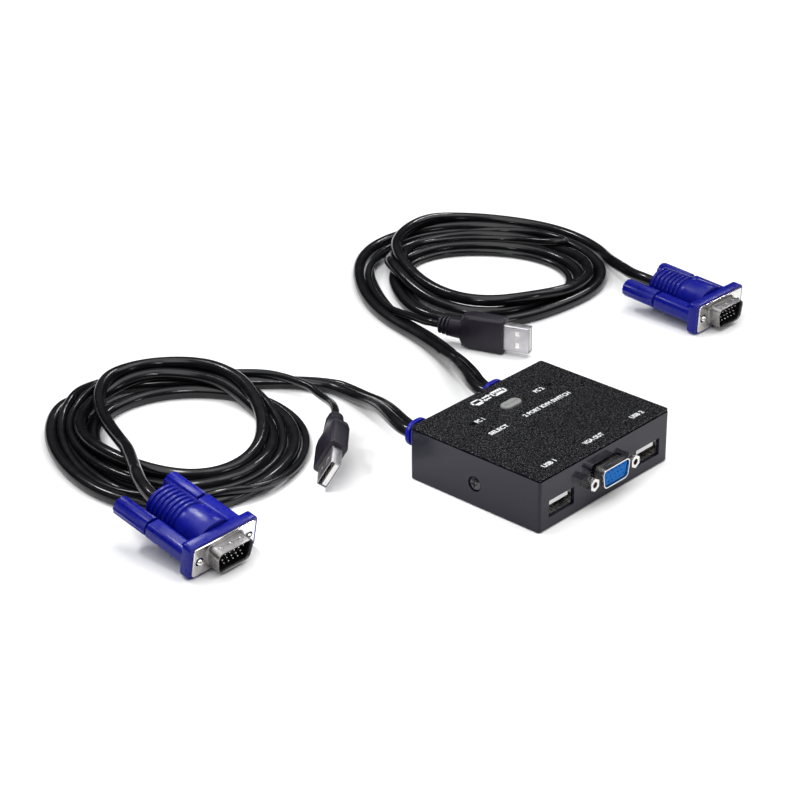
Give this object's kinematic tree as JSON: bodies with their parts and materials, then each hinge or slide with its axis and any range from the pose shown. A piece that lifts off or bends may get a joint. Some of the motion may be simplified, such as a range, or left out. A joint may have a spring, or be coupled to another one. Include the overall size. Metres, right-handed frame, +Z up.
{
  "type": "kvm switch",
  "caption": "Small desktop keyboard, video and mouse switch box with a select button, front USB and display ports, and attached twin cables wound in coils that end in display and USB plugs.",
  "frame": {"origin": "centre of the box's footprint, on the plane of the rubber feet", "axes": "+Z up through the lid, -Y out of the front ports, +X towards USB port 2"},
  "size_m": [0.3348, 0.234, 0.0237],
  "materials": {
    "housing": "smooth charcoal with a faint violet cast, semi-gloss",
    "textured_lid": "black with a pebbled leather-like grain",
    "foot_rubber": "matte",
    "screw_steel": "zinc plated",
    "board": "solder mask",
    "chip_black": "moulded epoxy",
    "white_plastic": "moulded",
    "light_pipe": "smoked clear",
    "button_grey": "light grey, satin gloss",
    "port_nickel": "nickel plated",
    "plug_steel": "satin steel",
    "insulator_blue": "bright blue moulded",
    "insulator_black": "moulded",
    "boot_blue": "soft moulded, blue violet",
    "hood_blue": "moulded, ultramarine",
    "usb_overmould": "soft moulded black",
    "cable_black": "glossy cable jacket"
  },
  "bodies": {
    "root": {"base_shell": "housing", "top_cover": "textured_lid", "foot_front_left": "foot_rubber", "foot_front_right": "foot_rubber", "foot_back_left": "foot_rubber", "foot_back_right": "foot_rubber", "side_screw_left": "screw_steel", "side_screw_right": "screw_steel", "board_screw_left": "screw_steel", "board_screw_right": "screw_steel", "crystal": "screw_steel", "circuit_board": "board", "video_switch_chip": "chip_black", "usb_controller_chip": "chip_black", "select_switch_body": "chip_black", "cable_header_1": "white_plastic", "cable_header_2": "white_plastic", "usb_port_1_tongue": "white_plastic", "usb_port_2_tongue": "white_plastic", "usb_plug_1_tongue": "white_plastic", "usb_plug_2_tongue": "white_plastic", "pc_1_light_pipe": "light_pipe", "pc_2_light_pipe": "light_pipe", "usb_port_1_shell": "port_nickel", "usb_port_2_shell": "port_nickel", "vga_port_shell": "port_nickel", "vga_port_post_left": "port_nickel", "vga_port_post_right": "port_nickel", "vga_plug_1_shell": "port_nickel", "vga_plug_2_shell": "port_nickel", "usb_plug_1_shell": "plug_steel", "usb_plug_2_shell": "plug_steel", "vga_port_insulator": "insulator_blue", "vga_plug_1_insulator": "insulator_black", "vga_plug_2_insulator": "insulator_black", "cable_boot_1": "boot_blue", "cable_boot_2": "boot_blue", "vga_plug_1_hood": "hood_blue", "vga_plug_2_hood": "hood_blue", "usb_plug_1_overmould": "usb_overmould", "usb_plug_2_overmould": "usb_overmould", "inner_lead_1": "cable_black", "inner_lead_2": "cable_black", "cable_coil_1": "cable_black", "cable_coil_2": "cable_black", "vga_lead_1": "cable_black", "vga_lead_2": "cable_black", "usb_lead_1": "cable_black", "usb_lead_2": "cable_black", "vga_tail_1": "cable_black", "vga_tail_2": "cable_black", "usb_tail_1": "cable_black", "usb_tail_2": "cable_black"},
    "select_button": {"select_button": "button_grey"},
    "select_plunger": {"select_switch_plunger": "white_plastic"},
    "vga_plug_1_screw_left": {"vga_plug_1_thumbscrew_left": "hood_blue"},
    "vga_plug_1_screw_right": {"vga_plug_1_thumbscrew_right": "hood_blue"},
    "vga_plug_2_screw_left": {"vga_plug_2_thumbscrew_left": "hood_blue"},
    "vga_plug_2_screw_right": {"vga_plug_2_thumbscrew_right": "hood_blue"}
  },
  "joints": [
    {"name": "select_press", "type": "slide", "parent": "root", "child": "select_button", "axis": [0, 0, -1], "range_m": [0, 0.0005], "stiffness_N_per_m": 3000, "springref_m": -0.00015},
    {"name": "plunger_press", "type": "slide", "parent": "root", "child": "select_plunger", "axis": [0, 0, -1], "range_m": [0, 0.0005]},
    {"name": "vga_plug_1_screw_left_turn", "type": "hinge", "parent": "root", "child": "vga_plug_1_screw_left", "pos_m": [-0.14606, 0.06839, 0.01287], "axis": [-0.012, 0.9816, 0.1908], "continuous": true},
    {"name": "vga_plug_1_screw_right_turn", "type": "hinge", "parent": "root", "child": "vga_plug_1_screw_right", "pos_m": [-0.12106, 0.0687, 0.01287], "axis": [-0.012, 0.9816, 0.1908], "continuous": true},
    {"name": "vga_plug_2_screw_left_turn", "type": "hinge", "parent": "root", "child": "vga_plug_2_screw_left", "pos_m": [0.14487, 0.05709, 0.00908], "axis": [0.0122, 0.9981, 0.061], "continuous": true},
    {"name": "vga_plug_2_screw_right_turn", "type": "hinge", "parent": "root", "child": "vga_plug_2_screw_right", "pos_m": [0.16986, 0.05679, 0.00908], "axis": [0.0122, 0.9981, 0.061], "continuous": true}
  ],
  "couplings": [
    {"joint": "plunger_press", "follows": "select_press", "ratio": 1}
  ]
}
